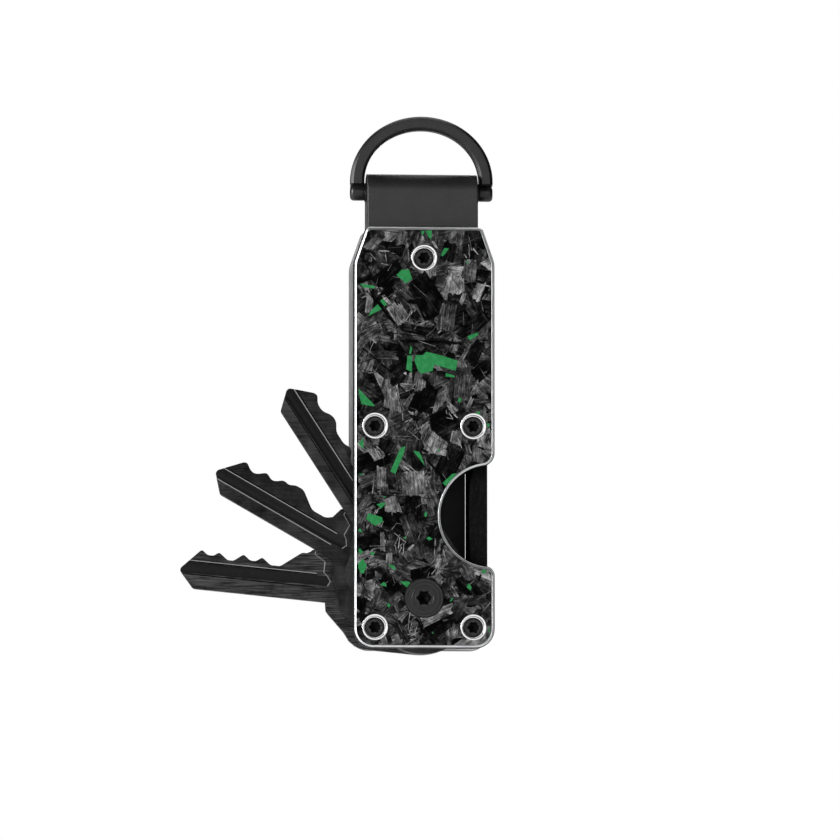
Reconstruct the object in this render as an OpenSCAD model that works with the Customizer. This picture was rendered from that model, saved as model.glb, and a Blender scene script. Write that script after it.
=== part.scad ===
// Key organiser: two inlaid metal plates screwed together round a fan of keys,
// hung from a D-ring on a folded leather strap.
// X is across the case, the front faces -Y, and Z is up. The origin is the inner top
// of the D-ring, where it hangs on a hook.

/* [Case] */
// Width of the case across its plates
case_w = 28.7; // [26:0.1:36]
// Height of the case
case_h = 85.7; // [78:0.1:110]
// How far each shoulder steps in towards the top edge
shoulder_in = 2.55; // [1:0.05:3.2]
// Height of the sloped shoulders
shoulder_drop = 7.3; // [4:0.1:10]
// Radius of the bottom corners
corner_r = 4; // [2:0.1:5]
// Radius of the two top corners
top_corner_r = 1.2; // [0.4:0.1:3]
// Radius where a shoulder runs into the side
shoulder_r = 5; // [1:0.1:8]

/* [Plates] */
// Thickness of each metal plate, inlay included
plate_t = 2.4; // [2.1:0.1:4]
// Thickness of the inlays
inlay_t = 1.2; // [0.8:0.05:1.4]
// Width of the bare metal rim round an inlay
rim_w = 0.6; // [0.4:0.05:1.5]
// Gap between an inlay and its pocket
inlay_gap = 0.05; // [0.02:0.01:0.1]
// Thickness of the inner liners
liner_t = 1; // [0.8:0.05:1.6]
// How far the liners stop short of the plate's edge
liner_inset = 1.3; // [1:0.05:2]

/* [Thumb notch] */
// Height of the notch's centre above the case's bottom edge
notch_h = 26.9; // [24:0.1:32]
// Radius of the notch
notch_r = 10.25; // [8:0.05:11.5]
// How far the notch's centre lies inside the side edge
notch_in = 0.7; // [0:0.1:1.5]
// Radius of the upper lip, where the notch meets the side edge
notch_top_r = 2.7; // [1:0.1:3]
// Radius of the lower lip
notch_low_r = 2; // [1:0.1:2.5]

/* [Screws] */
// Distance of the four side screws from the side edge
side_screw_in = 4.35; // [4:0.05:4.8]
// Height of the lower screws above the bottom edge
low_screw_h = 4.24; // [4:0.02:5]
// Height of the middle screws above the bottom edge
mid_screw_h = 45.1; // [42:0.1:50]
// Distance of the top screw below the top edge
top_screw_drop = 6.3; // [5:0.1:8]
// Outer diameter of the polished cups
cup_d = 5.3; // [4.8:0.1:5.8]
// Inner diameter of the polished cups
cup_bore_d = 4.4; // [4.2:0.05:4.6]
// Depth of the cups in the plates
cup_deep = 1.5; // [1.3:0.05:1.6]
// Diameter of the small screws' heads
head_d = 4.1; // [3.6:0.05:4.15]
// Thickness of the small screws' heads
head_t = 1.1; // [0.9:0.05:1.15]
// Diameter of the small screws' threads
thread_d = 2; // [1.6:0.1:2.4]
// Outer diameter of the threaded inserts in the liners
insert_d = 4; // [3.2:0.1:5]
// Width of the star socket in the small screws
socket_d = 2.4; // [1.6:0.1:2.6]
// Depth of the star socket in the small screws
socket_deep = 0.7; // [0.4:0.05:0.8]

/* [Pivot] */
// Height of the pivot above the bottom edge
pivot_h = 10.2; // [9.8:0.1:11]
// Diameter of the pivot bolt's head
pivot_head_d = 8.1; // [7:0.1:9]
// Thickness of the pivot heads
pivot_head_t = 1.4; // [1.2:0.05:1.6]
// Outer diameter of the pivot barrel that the keys turn on
barrel_d = 5; // [4.4:0.1:6]
// Diameter of the pivot bolt's thread
bolt_d = 3; // [2.5:0.1:3.6]
// Width of the star socket in the pivot bolt
pivot_socket_d = 3; // [2.4:0.1:3.6]
// Diameter of the thin washers between the keys
washer_d = 9; // [7.5:0.1:11]
// Radial gap of every turning fit
turn_gap = 0.05; // [0.03:0.01:0.08]

/* [Keys] */
// Thickness of a key
key_t = 2.1; // [1.8:0.05:2.6]
// Gap between one key and the next
key_gap = 0.35; // [0.3:0.05:0.6]
// Half width of a key's bow
bow_r = 11.2; // [10:0.1:11.4]
// Distance from the pivot to the blade's back shoulder
shoulder_u = 19.3; // [18:0.1:22]
// Direction of the upper key, counter-clockwise from +X seen from the front
upper_angle = 122.9; // [115:0.1:130]
// Direction of the middle key
middle_angle = 150.2; // [140:0.1:160]
// Direction of the lower key
lower_angle = 174.3; // [168:0.1:185]
// Width of the channel along each blade
channel_w = 2.3; // [1:0.1:2.6]
// Depth of the channel on each face of a blade
channel_deep = 0.4; // [0.2:0.05:0.6]

/* [Strap and D-ring] */
// Width of the leather strap
strap_w = 22.6; // [18:0.1:23]
// Thickness of the leather
strap_t = 2.3; // [1.6:0.05:2.8]
// Length of each strap leg below the case's top edge
strap_tail = 12; // [10:0.5:16]
// Height of the ring's pin above the case's top edge
pin_rise = 7.7; // [6:0.1:10]
// Diameter of the ring's pin
pin_d = 2.4; // [1.8:0.1:2.6]
// Thickness of the two thin bushes beside the strap
bush_t = 0.3; // [0.2:0.05:0.5]
// Diameter of the thin bushes
bush_d = 3.8; // [3.2:0.1:4]
// Gap left on each side of a bush
bush_gap = 0.06; // [0.04:0.01:0.1]
// Length of the round ends of the D-ring
end_l = 2.85; // [2:0.05:4]
// Diameter of the round ends of the D-ring
end_d = 3.4; // [3:0.1:4.4]
// Height of the D-ring's bow above the top of its arms
ring_rise = 13.4; // [10:0.1:18]
// Length of the D-ring's straight arms above the pin
arm_rise = 2.2; // [1.5:0.1:4]
// Width of the D-ring's band
ring_band = 2.85; // [2:0.05:3.4]
// Thickness of the D-ring's band from front to back
ring_t = 3; // [2:0.1:3.2]
// Width of the bevels along the D-ring's band
ring_bevel = 0.6; // [0.2:0.05:0.9]

/* [Side band] */
// Width of the band's two legs
leg_w = 3.65; // [3:0.05:4.2]
// Thickness of the band's web
web_t = 0.85; // [0.6:0.05:1]
// Height of the band's lower end above the bottom edge
band_low = 9; // [8:0.1:12]
// Height of the band's upper end above the bottom edge
band_top = 64; // [56:0.5:66]

/* [Hidden] */

$fn = 64;
cut = 1;                                   // how far a cutter runs past the face it cuts
fit_gap = 0.05;                            // gap between fixed pieces that fit together
round_fn = 48;                             // sides of an outline's rounded corners

// Depths, measured along Y from the middle of the case
bay = 3 * key_t + 4 * key_gap;             // space between the liners
liner_y = bay / 2;                         // inner face of the back liner
plate_y = liner_y + liner_t;               // inner face of the back plate
case_y = plate_y + plate_t;                // outer face of the back plate
pocket_y = case_y - inlay_t;               // floor of the inlay's pocket

// Across the case
half_w = case_w / 2;
side_x = half_w - side_screw_in;
side_screws = [for (h = [low_screw_h, mid_screw_h], s = [-1, 1]) [s * side_x, h]];
top_screw = [0, case_h - top_screw_drop];
screws = concat(side_screws, [top_screw]);
band_x = half_w - liner_inset;             // outer face of the side band's web
leg_t = liner_t - 2 * fit_gap;             // the legs lie in the thickness of the liners
leg_y = liner_y + fit_gap;

// Heights, measured from the case's bottom edge
pin_h = case_h + pin_rise;
loop_r = pin_d / 2 + turn_gap;             // inside of the strap's loop
loop_out_r = loop_r + strap_t;
loop_lap = 0.3;                            // how far the loop runs down into the legs
spring_h = pin_h + arm_rise;               // top of the D-ring's arms, foot of its bow
hang_h = spring_h + ring_rise - ring_band; // inner top of the D-ring

// Across the D-ring
end_x = strap_w / 2 + bush_gap + bush_t + bush_gap;   // inner face of the round ends
ring_x = end_x + end_l;                    // outer face of the round ends
post_d = 4;                                // outer diameter of the top post
spacer_y = liner_y - strap_t;              // half the thickness of the strap spacer
spacer_w = strap_w - 4;

// Keys, from the front of the bay to the back
key_y = [for (i = [0:2]) -liner_y + key_gap + key_t / 2 + i * (key_t + key_gap)];
washer_t = key_gap - 2 * fit_gap;
star_lobes = 6;

// ---- shared shapes -------------------------------------------------------------

// Puts children drawn in heights above the bottom edge into the object's frame
module placed() translate([0, 0, -hang_h]) children();

// Stands a drawing in X and height upright, and thickens it from y0 to y1
module slab(y0, y1) translate([0, y1, 0]) rotate([90, 0, 0]) linear_extrude(y1 - y0) children();

// A straight round bar or bore along Y, at the place [x, h]
module along_y(place, d, y0, y1) {
    translate([place[0], y1, place[1]]) rotate([90, 0, 0]) cylinder(d = d, h = y1 - y0);
}

// A straight round bar along X, at the height h
module along_x(h, d, x0, x1) translate([x0, 0, h]) rotate([0, 90, 0]) cylinder(d = d, h = x1 - x0);

// Mirrors a front piece to the back of the case
module at_back() mirror([0, 1, 0]) children();

// Half width of the case along the line of its shoulders, at the height h
function shoulder_x(h) = half_w - shoulder_in * (h - case_h + shoulder_drop) / shoulder_drop;

// Straight-sided shape, mirrored about X = 0, from its right-hand points
module both_sides(right) {
    left = [for (i = [len(right) - 1:-1:0]) [-right[i][0], right[i][1]]];
    polygon(concat(right, left));
}

// Outline of a plate that is inset from the case's edge by the given amount: three
// shapes of which each rounds its own pair of corners, and runs on past the others
module case_outline(inset = 0) {
    past = case_h / 2;
    offset(delta = -inset, $fn = round_fn) intersection() {
        rounded(corner_r) both_sides([[half_w, 0], [half_w, case_h + past]]);
        rounded(shoulder_r) both_sides([
            [half_w, -past], [half_w, case_h - shoulder_drop],
            [shoulder_x(case_h + shoulder_drop), case_h + shoulder_drop]]);
        rounded(top_corner_r) both_sides([
            [half_w + shoulder_in, -past], [half_w + shoulder_in, case_h - 2 * shoulder_drop],
            [half_w - shoulder_in, case_h]]);
    }
}

// Rounds the outer corners of a drawing
module rounded(r) offset(r = r, $fn = round_fn) offset(delta = -r) children();

// The thumb notch, with its mouth opened by two rounded lips. It grows by the given amount
module notch(grow = 0) {
    r = notch_r + grow;
    centre = [half_w - notch_in, notch_h];
    translate(centre) circle(r);
    for (side = [[1, notch_top_r - grow], [-1, notch_low_r - grow]]) {
        lip_r = side[1];
        lip_x = half_w - grow - lip_r;
        lip_h = notch_h + side[0] * sqrt(pow(r + lip_r, 2) - pow(lip_x - centre[0], 2));
        difference() {
            polygon([centre, [lip_x, lip_h], [half_w + cut, lip_h], [half_w + cut, notch_h]]);
            translate([lip_x, lip_h]) circle(lip_r);
        }
    }
}

// A star-shaped socket, d across, cut from the outer face at y = -face inwards
module star_socket(place, d, face, deep) {
    along_y(place, d * 0.76, -face - cut, -face + deep);
    for (i = [0:star_lobes - 1]) {
        a = i * 360 / star_lobes;
        along_y(place + d * 0.36 * [cos(a), sin(a)], d * 0.26, -face - cut, -face + deep);
    }
}

// ---- plates and inlays ------------------------------------------------------------

module plate() {
    difference() {
        slab(-case_y, -plate_y) difference() {
            case_outline();
            notch();
        }
        slab(-case_y - cut, -pocket_y) difference() {
            case_outline(rim_w);
            notch(rim_w);
        }
        for (s = screws) {
            along_y(s, cup_d + 2 * fit_gap, -case_y, -case_y + cup_deep);
            along_y(s, thread_d + 2 * fit_gap, -case_y, -plate_y + cut);
        }
        along_y([0, pivot_h], pivot_head_d + 2 * fit_gap, -case_y, -case_y + pivot_head_t);
        along_y([0, pivot_h], barrel_d + 2 * fit_gap, -case_y, -plate_y + cut);
    }
}

module inlay() {
    difference() {
        slab(-case_y, -pocket_y) difference() {
            case_outline(rim_w + inlay_gap);
            notch(rim_w + inlay_gap);
        }
        for (s = screws) along_y(s, cup_d + 2 * fit_gap, -case_y - cut, -pocket_y + cut);
        along_y([0, pivot_h], pivot_head_d + 2 * fit_gap, -case_y - cut, -pocket_y + cut);
    }
}

module liner(notched) {
    difference() {
        slab(-plate_y, -liner_y) difference() {
            case_outline(liner_inset);
            if (notched) notch(liner_inset);
            translate([band_x - leg_w - 2 * fit_gap, band_low - fit_gap])
                square([leg_w + cut, band_top - band_low + 2 * fit_gap]);
        }
        for (s = side_screws) along_y(s, insert_d + 2 * fit_gap, -plate_y - cut, -liner_y + cut);
        along_y(top_screw, thread_d + 2 * fit_gap, -plate_y - cut, -liner_y + cut);
        along_y([0, pivot_h], barrel_d + 2 * fit_gap, -plate_y - cut, -liner_y + cut);
    }
}

// ---- fasteners -----------------------------------------------------------------

module cups() {
    for (s = screws) difference() {
        along_y(s, cup_d, -case_y, -case_y + cup_deep - fit_gap);
        along_y(s, cup_bore_d, -case_y - cut, -case_y + cup_floor);
        along_y(s, thread_d + 2 * fit_gap, -case_y, -case_y + cup_deep + cut);
    }
}
cup_floor = 1.3;                           // depth of a cup's inside, to the seat of the head

module screw(place, tip_y) {
    seat = -case_y + cup_floor;
    difference() {
        union() {
            along_y(place, head_d, seat - head_t, seat);
            along_y(place, thread_d, seat - fit_gap, tip_y);
        }
        star_socket(place, socket_d, -seat + head_t, socket_deep);
    }
}

module plate_screws() {
    for (s = side_screws) screw(s, -liner_y);
    screw(top_screw, -spacer_y);
}

module inserts() {
    for (s = side_screws) difference() {
        along_y(s, insert_d, -plate_y + fit_gap, -liner_y);
        along_y(s, thread_d + 2 * fit_gap, -plate_y - cut, -liner_y + cut);
    }
}

module pivot_bolt() {
    color("#17181a") difference() {
        union() {
            along_y([0, pivot_h], pivot_head_d, -case_y, -case_y + pivot_head_t - fit_gap);
            along_y([0, pivot_h], bolt_d, -case_y + pivot_head_t / 2, liner_y);
        }
        star_socket([0, pivot_h], pivot_socket_d, case_y, pivot_head_t * 0.6);
    }
}

module pivot_barrel() {
    color("#202224") difference() {
        union() {
            along_y([0, pivot_h], pivot_head_d, case_y - pivot_head_t + fit_gap, case_y);
            along_y([0, pivot_h], barrel_d, -case_y + pivot_head_t, case_y - pivot_head_t / 2);
        }
        along_y([0, pivot_h], bolt_d + 2 * fit_gap, -case_y, liner_y + fit_gap);
        at_back() star_socket([0, pivot_h], pivot_socket_d, case_y, pivot_head_t * 0.6);
    }
}

module pivot_washers() {
    color("#8c8a80") for (i = [0:3]) difference() {
        y0 = -liner_y + i * (key_t + key_gap) + fit_gap;
        along_y([0, pivot_h], washer_d, y0, y0 + washer_t);
        along_y([0, pivot_h], barrel_d + 2 * turn_gap, y0 - cut, y0 + washer_t + cut);
    }
}

// ---- side band -----------------------------------------------------------------

// A channel of woven band: a web along the side of the bay, and a leg under each plate
module side_band() {
    color("#1b1b1c") difference() {
        union() {
            translate([band_x - web_t, -leg_y - leg_t, band_low])
                cube([web_t, 2 * (leg_y + leg_t), band_top - band_low]);
            for (y0 = [-leg_y - leg_t, leg_y])
                translate([band_x - leg_w, y0, band_low]) cube([leg_w, leg_t, band_top - band_low]);
        }
        for (s = side_screws) along_y(s, insert_d + 2 * fit_gap, -plate_y - cut, plate_y + cut);
    }
}

// ---- strap and D-ring ----------------------------------------------------------

// Side view of one strap leg: from beside the pin, down into the case
module leg_profile() {
    polygon([[loop_r, pin_h], [loop_out_r, pin_h], [liner_y, case_h],
             [liner_y, case_h - strap_tail], [spacer_y, case_h - strap_tail], [spacer_y, case_h]]);
}

// Runs a side view of the strap across its whole width
module strap_wide() {
    translate([-strap_w / 2, 0, 0]) rotate([90, 0, 90]) linear_extrude(strap_w) children();
}

module strap() {
    color("#1d1d1e") difference() {
        union() {
            strap_wide() leg_profile();
            strap_wide() mirror([1, 0]) leg_profile();
            strap_wide() difference() {
                translate([0, pin_h]) circle(loop_out_r);
                translate([-loop_out_r - cut, pin_h - loop_out_r - cut - loop_lap])
                    square([2 * (loop_out_r + cut), loop_out_r + cut]);
            }
        }
        along_x(pin_h, 2 * loop_r, -strap_w / 2 - cut, strap_w / 2 + cut);
        along_y(top_screw, post_d + 2 * fit_gap, -liner_y - cut, liner_y + cut);
    }
}

module strap_spacer() {
    color("#303234") difference() {
        translate([-spacer_w / 2, -spacer_y + fit_gap, case_h - strap_tail])
            cube([spacer_w, 2 * (spacer_y - fit_gap), strap_tail - rim_w]);
        along_y(top_screw, post_d + 2 * fit_gap, -spacer_y - cut, spacer_y + cut);
    }
}

module top_post() {
    color("#a9abad") difference() {
        along_y(top_screw, post_d, -liner_y + fit_gap, liner_y - fit_gap);
        along_y(top_screw, thread_d + 2 * fit_gap, -liner_y - cut, liner_y + cut);
    }
}

// Half ellipse, wide x rise, on straight arms that reach down to the foot
module d_outline(wide, rise, foot) {
    steps = 48;
    polygon(concat([[wide, foot]],
        [for (i = [0:steps]) [wide * cos(180 * i / steps), spring_h + rise * sin(180 * i / steps)]],
        [[-wide, foot]]));
}

module ring_band_shape(inset) difference() {
    d_outline(ring_x - inset, ring_rise - inset, pin_h);
    d_outline(ring_x - ring_band + inset, ring_rise - ring_band + inset, pin_h - cut);
}

module d_ring() {
    color("#1a1b1d") difference() {
        union() {
            slab(-ring_t / 2 + ring_bevel, ring_t / 2 - ring_bevel) ring_band_shape(0);
            slab(-ring_t / 2, ring_t / 2) ring_band_shape(ring_bevel);
            for (s = [-1, 1]) along_x(pin_h, end_d, s > 0 ? end_x : -ring_x, s > 0 ? ring_x : -end_x);
        }
        along_x(pin_h, pin_d + 2 * fit_gap, -ring_x + 1, ring_x - 1);
    }
}

module ring_pin() color("#2a2b2d") along_x(pin_h, pin_d, -ring_x + 1 + fit_gap, ring_x - 1 - fit_gap);

module ring_bushes() {
    color("#0f0f10") for (s = [-1, 1]) difference() {
        x = s * (strap_w / 2 + bush_gap + bush_t / 2);
        along_x(pin_h, bush_d, x - bush_t / 2, x + bush_t / 2);
        along_x(pin_h, pin_d + 2 * turn_gap, x - bush_t, x + bush_t);
    }
}

// ---- keys ----------------------------------------------------------------------

// Each key lies along its own U axis from the pivot, its cuts on the +V side:
// [back edge, crest of the blade, reach of the tip, channel's lower edge, cuts], and
// each cut is [place along U, height of its floor, half width of its floor]
upper_form = [-3.6, 4.75, 50.9, -1.35, [[44, 3.5, 1], [36.5, 3.6, 1.6], [30.5, 2.6, 0.7], [26.2, 3.6, 0.7]]];
middle_form = [-2, 7.3, 49.4, 0.55, [[42.5, 5.2, 0.6], [38.4, 5.8, 0.5], [35.2, 6.7, 0.5], [26.8, 4.6, 1.6]]];
lower_form = [-2.5, 7.1, 49.6, 0.55, [[43.5, 4.6, 0.6], [39.4, 4, 0.6], [34.8, 4.4, 0.6], [30.2, 3.9, 1]]];
tip_rise = 3.7;                            // height of the nose above the back edge
tip_run = 3.3;                             // length of the slope from the back edge to the nose
nose_r = 0.8;
flank = 1.3;                               // run of a cut's side for each unit of its depth
bow_shoulder = 4;                          // how far the bow's stop lies past the back shoulder
bow_corner_r = 0.8;

module blade_outline(form) {
    back = form[0];
    crest = form[1];
    tip = form[2];
    nose = back + tip_rise;
    difference() {
        rounded(nose_r) polygon([
            [0, back], [tip - tip_run, back], [tip, nose], [tip - (crest - nose) * 0.95, crest], [0, crest]]);
        for (c = form[4]) {
            high = crest + cut;
            run = (high - c[1]) * flank;
            polygon([[c[0] - c[2], c[1]], [c[0] + c[2], c[1]],
                     [c[0] + c[2] + run, high], [c[0] - c[2] - run, high]]);
        }
    }
}

// Broad rounded bow, sloped in towards the blade on both sides
module bow_outline(form) {
    back = form[0];
    crest = form[1];
    circle(bow_r);
    rounded(bow_corner_r) polygon([
        [0, -bow_r], [bow_r, -bow_r], [shoulder_u - 5.5, -bow_r + 1.4], [shoulder_u - 4.4, -bow_r + 3],
        [shoulder_u - 0.5, -4.4], [shoulder_u, back], [shoulder_u + bow_shoulder, crest - 1.5],
        [shoulder_u + bow_shoulder, crest + 0.8], [bow_r + 1, bow_r], [0, bow_r]]);
}

module key(form, angle, y) {
    translate([0, y, pivot_h]) rotate([90, -angle, 0]) mirror([0, 1, 0]) difference() {
        translate([0, 0, -key_t / 2]) linear_extrude(key_t) {
            blade_outline(form);
            bow_outline(form);
        }
        for (z = [key_t / 2 - channel_deep, -key_t / 2 - cut])
            translate([shoulder_u + 1, form[3], z]) cube([form[2], channel_w, channel_deep + cut]);
        translate([0, 0, -key_t]) cylinder(d = barrel_d + 2 * turn_gap, h = 2 * key_t);
    }
}

// ---- the object ----------------------------------------------------------------

placed() d_ring();
placed() ring_pin();
placed() ring_bushes();
placed() strap();
placed() strap_spacer();
placed() top_post();
placed() color("#b9bbbd") plate();  // front_plate
placed() color("#2d2e30") inlay();  // front_inlay
placed() color("#e8e9ea") cups();  // front_cups
placed() color("#151617") plate_screws();  // front_screws
placed() color("#b08d4a") inserts();  // front_inserts
placed() color("#141415") liner(true);  // front_liner
placed() at_back() color("#b9bbbd") plate();  // back_plate
placed() at_back() color("#2d2e30") inlay();  // back_inlay
placed() at_back() color("#e8e9ea") cups();  // back_cups
placed() at_back() color("#151617") plate_screws();  // back_screws
placed() at_back() color("#b08d4a") inserts();  // back_inserts
placed() at_back() color("#141415") liner(false);  // back_liner
placed() pivot_bolt();
placed() pivot_barrel();
placed() pivot_washers();
placed() side_band();
placed() color("#232425") key(upper_form, upper_angle, key_y[0]);  // upper_key
placed() color("#262728") key(middle_form, middle_angle, key_y[1]);  // middle_key
placed() color("#2a2b2c") key(lower_form, lower_angle, key_y[2]);  // lower_key
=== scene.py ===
import math
import random

import bmesh
import bpy
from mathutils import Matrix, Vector
from mathutils.geometry import delaunay_2d_cdt


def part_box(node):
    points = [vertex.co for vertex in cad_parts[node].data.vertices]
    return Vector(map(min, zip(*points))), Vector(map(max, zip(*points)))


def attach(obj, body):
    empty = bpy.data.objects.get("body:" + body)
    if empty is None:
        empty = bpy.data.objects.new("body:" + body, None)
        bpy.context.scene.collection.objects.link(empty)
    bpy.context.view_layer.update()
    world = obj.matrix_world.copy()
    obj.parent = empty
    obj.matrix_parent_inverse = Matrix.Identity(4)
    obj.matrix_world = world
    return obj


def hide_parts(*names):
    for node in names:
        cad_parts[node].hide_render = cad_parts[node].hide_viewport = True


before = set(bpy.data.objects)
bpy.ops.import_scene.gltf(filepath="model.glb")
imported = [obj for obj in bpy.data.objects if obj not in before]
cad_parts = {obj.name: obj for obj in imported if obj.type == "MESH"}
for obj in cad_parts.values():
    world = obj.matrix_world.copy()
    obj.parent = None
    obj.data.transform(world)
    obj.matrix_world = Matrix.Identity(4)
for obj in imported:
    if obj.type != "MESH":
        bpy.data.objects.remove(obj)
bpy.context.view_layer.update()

MM = 0.001

# ---- sizes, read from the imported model, in millimetres ----------------------------
plate_low, plate_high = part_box("front_plate")
BASE_Z = plate_low.z
HALF_W = plate_high.x / MM
CASE_H = (plate_high.z - plate_low.z) / MM
CASE_Y = -plate_low.y / MM
PLATE_Y = -plate_high.y / MM
INLAY_Y = -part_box("front_inlay")[1].y / MM
PIN_H = (sum(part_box("ring_pin")[i].z for i in (0, 1)) / 2 - BASE_Z) / MM
LINER_Y = -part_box("front_liner")[1].y / MM

CORNER_R, SHOULDER_R, TOP_R = 4, 5, 1.2
SHOULDER_IN, SHOULDER_DROP = 2.55, 7.3
RIM = 0.6
NOTCH_H, NOTCH_R, NOTCH_IN = 26.9, 10.25, 0.7
LIP_TOP_R, LIP_LOW_R = 2.7, 2
SIDE_X, LOW_H, MID_H, TOP_H = HALF_W - 4.35, 4.24, 45.1, CASE_H - 6.3
SCREWS = [(-SIDE_X, LOW_H), (SIDE_X, LOW_H), (-SIDE_X, MID_H), (SIDE_X, MID_H), (0, TOP_H)]
PIVOT_H = 10.2
# Radii of the seats and holes for a cup, a small screw, the pivot's head, its sleeve, a post
CUP_SEAT_R, SCREW_R, HEAD_SEAT_R, SLEEVE_R, POST_R = 2.7, 1.05, 4.1, 2.55, 2.05


def at(x, y, h):
    """A point in metres from millimetres across, front to back, and above the case's foot."""
    return Vector((x * MM, y * MM, BASE_Z + h * MM))


# ---- camera -----------------------------------------------------------------------
def make_camera():
    azimuth, elevation = math.radians(-4.82), math.radians(-4.46)
    back = Vector((math.sin(azimuth) * math.cos(elevation),
                   -math.cos(azimuth) * math.cos(elevation), math.sin(elevation)))
    camera = bpy.data.objects.new("camera", bpy.data.cameras.new("camera"))
    camera.data.sensor_width, camera.data.lens = 36, 294.3
    camera.location = at(-0.27, 0, 46.86) + back * 1.4
    camera.rotation_mode = "QUATERNION"
    camera.rotation_quaternion = (-back).to_track_quat("-Z", "Y")
    camera.data.clip_start, camera.data.clip_end = 0.01, 20
    bpy.context.scene.collection.objects.link(camera)
    bpy.context.scene.camera = camera


make_camera()


# ---- materials --------------------------------------------------------------------
class Finish:
    """A node material that is built up a few nodes at a time."""

    def __init__(self, name, **settings):
        self.material = bpy.data.materials.new(name)
        self.material.use_nodes = True
        self.tree = self.material.node_tree
        self.shader = self.tree.nodes["Principled BSDF"]
        for socket, value in settings.items():
            self.shader.inputs[socket.replace("_", " ")].default_value = value

    def node(self, kind, inputs=None, **settings):
        made = self.tree.nodes.new("ShaderNode" + kind)
        for key, value in settings.items():
            setattr(made, key, value)
        for socket, value in (inputs or {}).items():
            if isinstance(value, bpy.types.NodeSocket):
                self.tree.links.new(value, made.inputs[socket])
            else:
                made.inputs[socket].default_value = value
        return made

    def millimetres(self, stretch=(1, 1, 1), turn=(0, 0, 0)):
        """The piece's own coordinates, one unit to a millimetre divided by the stretch."""
        own = self.node("TexCoord").outputs["Object"]
        scale = [1 / (MM * s) for s in stretch]
        return self.node("Mapping", {"Vector": own, "Scale": scale, "Rotation": turn}).outputs[0]

    def noise(self, where, scale=1.0, detail=3.0, rough=0.5):
        return self.node("TexNoise", {"Vector": where, "Scale": scale, "Detail": detail,
                                      "Roughness": rough}).outputs[0]

    def maths(self, operation, a, b=0.5):
        return self.node("Math", {0: a, 1: b}, operation=operation).outputs[0]

    def ramp(self, factor, *stops):
        made = self.node("ValToRGB", {"Fac": factor})
        elements = made.color_ramp.elements
        while len(elements) < len(stops):
            elements.new(0.5)
        for element, (place, colour) in zip(elements, stops):
            element.position = place
            element.color = (*(colour if isinstance(colour, tuple) else (colour,) * 3), 1)
        return made.outputs[0]

    def scaled(self, factor, low, high):
        """A 0 to 1 value mapped to low to high."""
        return self.node("MapRange", {"Value": factor, "To Min": low, "To Max": high}).outputs[0]

    def set(self, socket, value):
        self.tree.links.new(value, self.shader.inputs[socket])

    def bump(self, height, distance, strength=1.0, under=None):
        made = self.node("Bump", {"Height": height, "Distance": distance * MM, "Strength": strength})
        if under is not None:
            self.tree.links.new(under, made.inputs["Normal"])
        self.set("Normal", made.outputs[0])
        return made.outputs[0]


def blasted_metal():
    f = Finish("rim_metal", Metallic=1.0, Roughness=0.3)
    where = f.millimetres()
    smudge = f.noise(where, 0.35, 4)
    f.set("Base Color", f.ramp(smudge, (0.3, (0.74, 0.75, 0.77)), (0.7, (0.92, 0.93, 0.94))))
    f.set("Roughness", f.scaled(f.noise(where, 1.2, 5), 0.27, 0.46))
    f.bump(f.noise(where, 7, 2), 0.012, 0.6)
    return f.material


def forged_carbon():
    """Chopped strands: every chip has its own strand direction and shade on its faces; that shade and
    the streaks are painted sheen, the brightness glossy strands show at their angle.
    """
    f = Finish("forged_carbon", Roughness=0.42)
    f.shader.inputs["Specular IOR Level"].default_value = 0.02
    angle = f.node("Attribute", attribute_name="strand_angle").outputs["Fac"]
    shade = f.node("Attribute", attribute_name="strand_sheen").outputs["Fac"]
    seed = f.node("Attribute", attribute_name="strand_seed").outputs["Fac"]
    along = f.node("VectorRotate", {"Vector": f.millimetres(), "Angle": angle},
                   rotation_type="Y_AXIS").outputs[0]
    moved = f.node("VectorMath", {0: along, 1: f.node("CombineXYZ", {"Y": seed}).outputs[0]},
                   operation="ADD").outputs[0]
    strands = f.node("Mapping", {"Vector": moved, "Scale": (0.3, 1, 2.6)}).outputs[0]
    fine = f.node("Mapping", {"Vector": moved, "Scale": (1.1, 1, 7.5)}).outputs[0]
    patches = f.noise(moved, 0.5, 4, 0.6)
    streak = f.maths("ADD", f.maths("MULTIPLY", f.noise(strands, 1, 3, 0.6), 0.62),
                     f.maths("MULTIPLY", f.noise(fine, 1, 2, 0.6), 0.38))
    contrast = f.maths("MULTIPLY", f.maths("SUBTRACT", streak, 0.5), 1.5)
    cloud = f.maths("MULTIPLY", f.maths("SUBTRACT", patches, 0.5), 1.1)
    tone = f.maths("ADD", shade, f.maths("ADD", contrast, cloud))
    # Painted sheen: the chip's shade, its streaks and broad patches set how light it is painted
    f.set("Base Color", f.ramp(tone, (0.02, 0.0006), (0.22, 0.006), (0.42, 0.028),
                               (0.6, 0.085), (0.78, 0.22), (0.98, 0.5)))
    f.set("Roughness", f.scaled(streak, 0.32, 0.55))
    f.bump(streak, 0.02, 0.35)
    return f.material


def green_flake():
    f = Finish("green_flake", Roughness=0.4)
    f.shader.inputs["Specular IOR Level"].default_value = 0.1
    where = f.millimetres()
    mottle = f.noise(where, 1.6, 4, 0.6)
    f.set("Base Color", f.ramp(mottle, (0.25, (0.017, 0.18, 0.05)), (0.5, (0.025, 0.24, 0.068)),
                               (0.8, (0.05, 0.33, 0.12))))
    f.set("Roughness", f.scaled(f.noise(where, 3, 2), 0.3, 0.5))
    f.bump(mottle, 0.01, 0.4)
    return f.material


def polished_steel(name, base, low, high, marks=0.004):
    f = Finish(name, Metallic=1.0)
    where = f.millimetres()
    f.set("Base Color", f.ramp(f.noise(where, 0.8, 3), (0.3, tuple(0.9 * c for c in base)), (0.7, base)))
    f.set("Roughness", f.scaled(f.noise(where, 2.5, 4), low, high))
    f.bump(f.noise(where, 6, 3), marks, 0.5)
    return f.material


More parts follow.
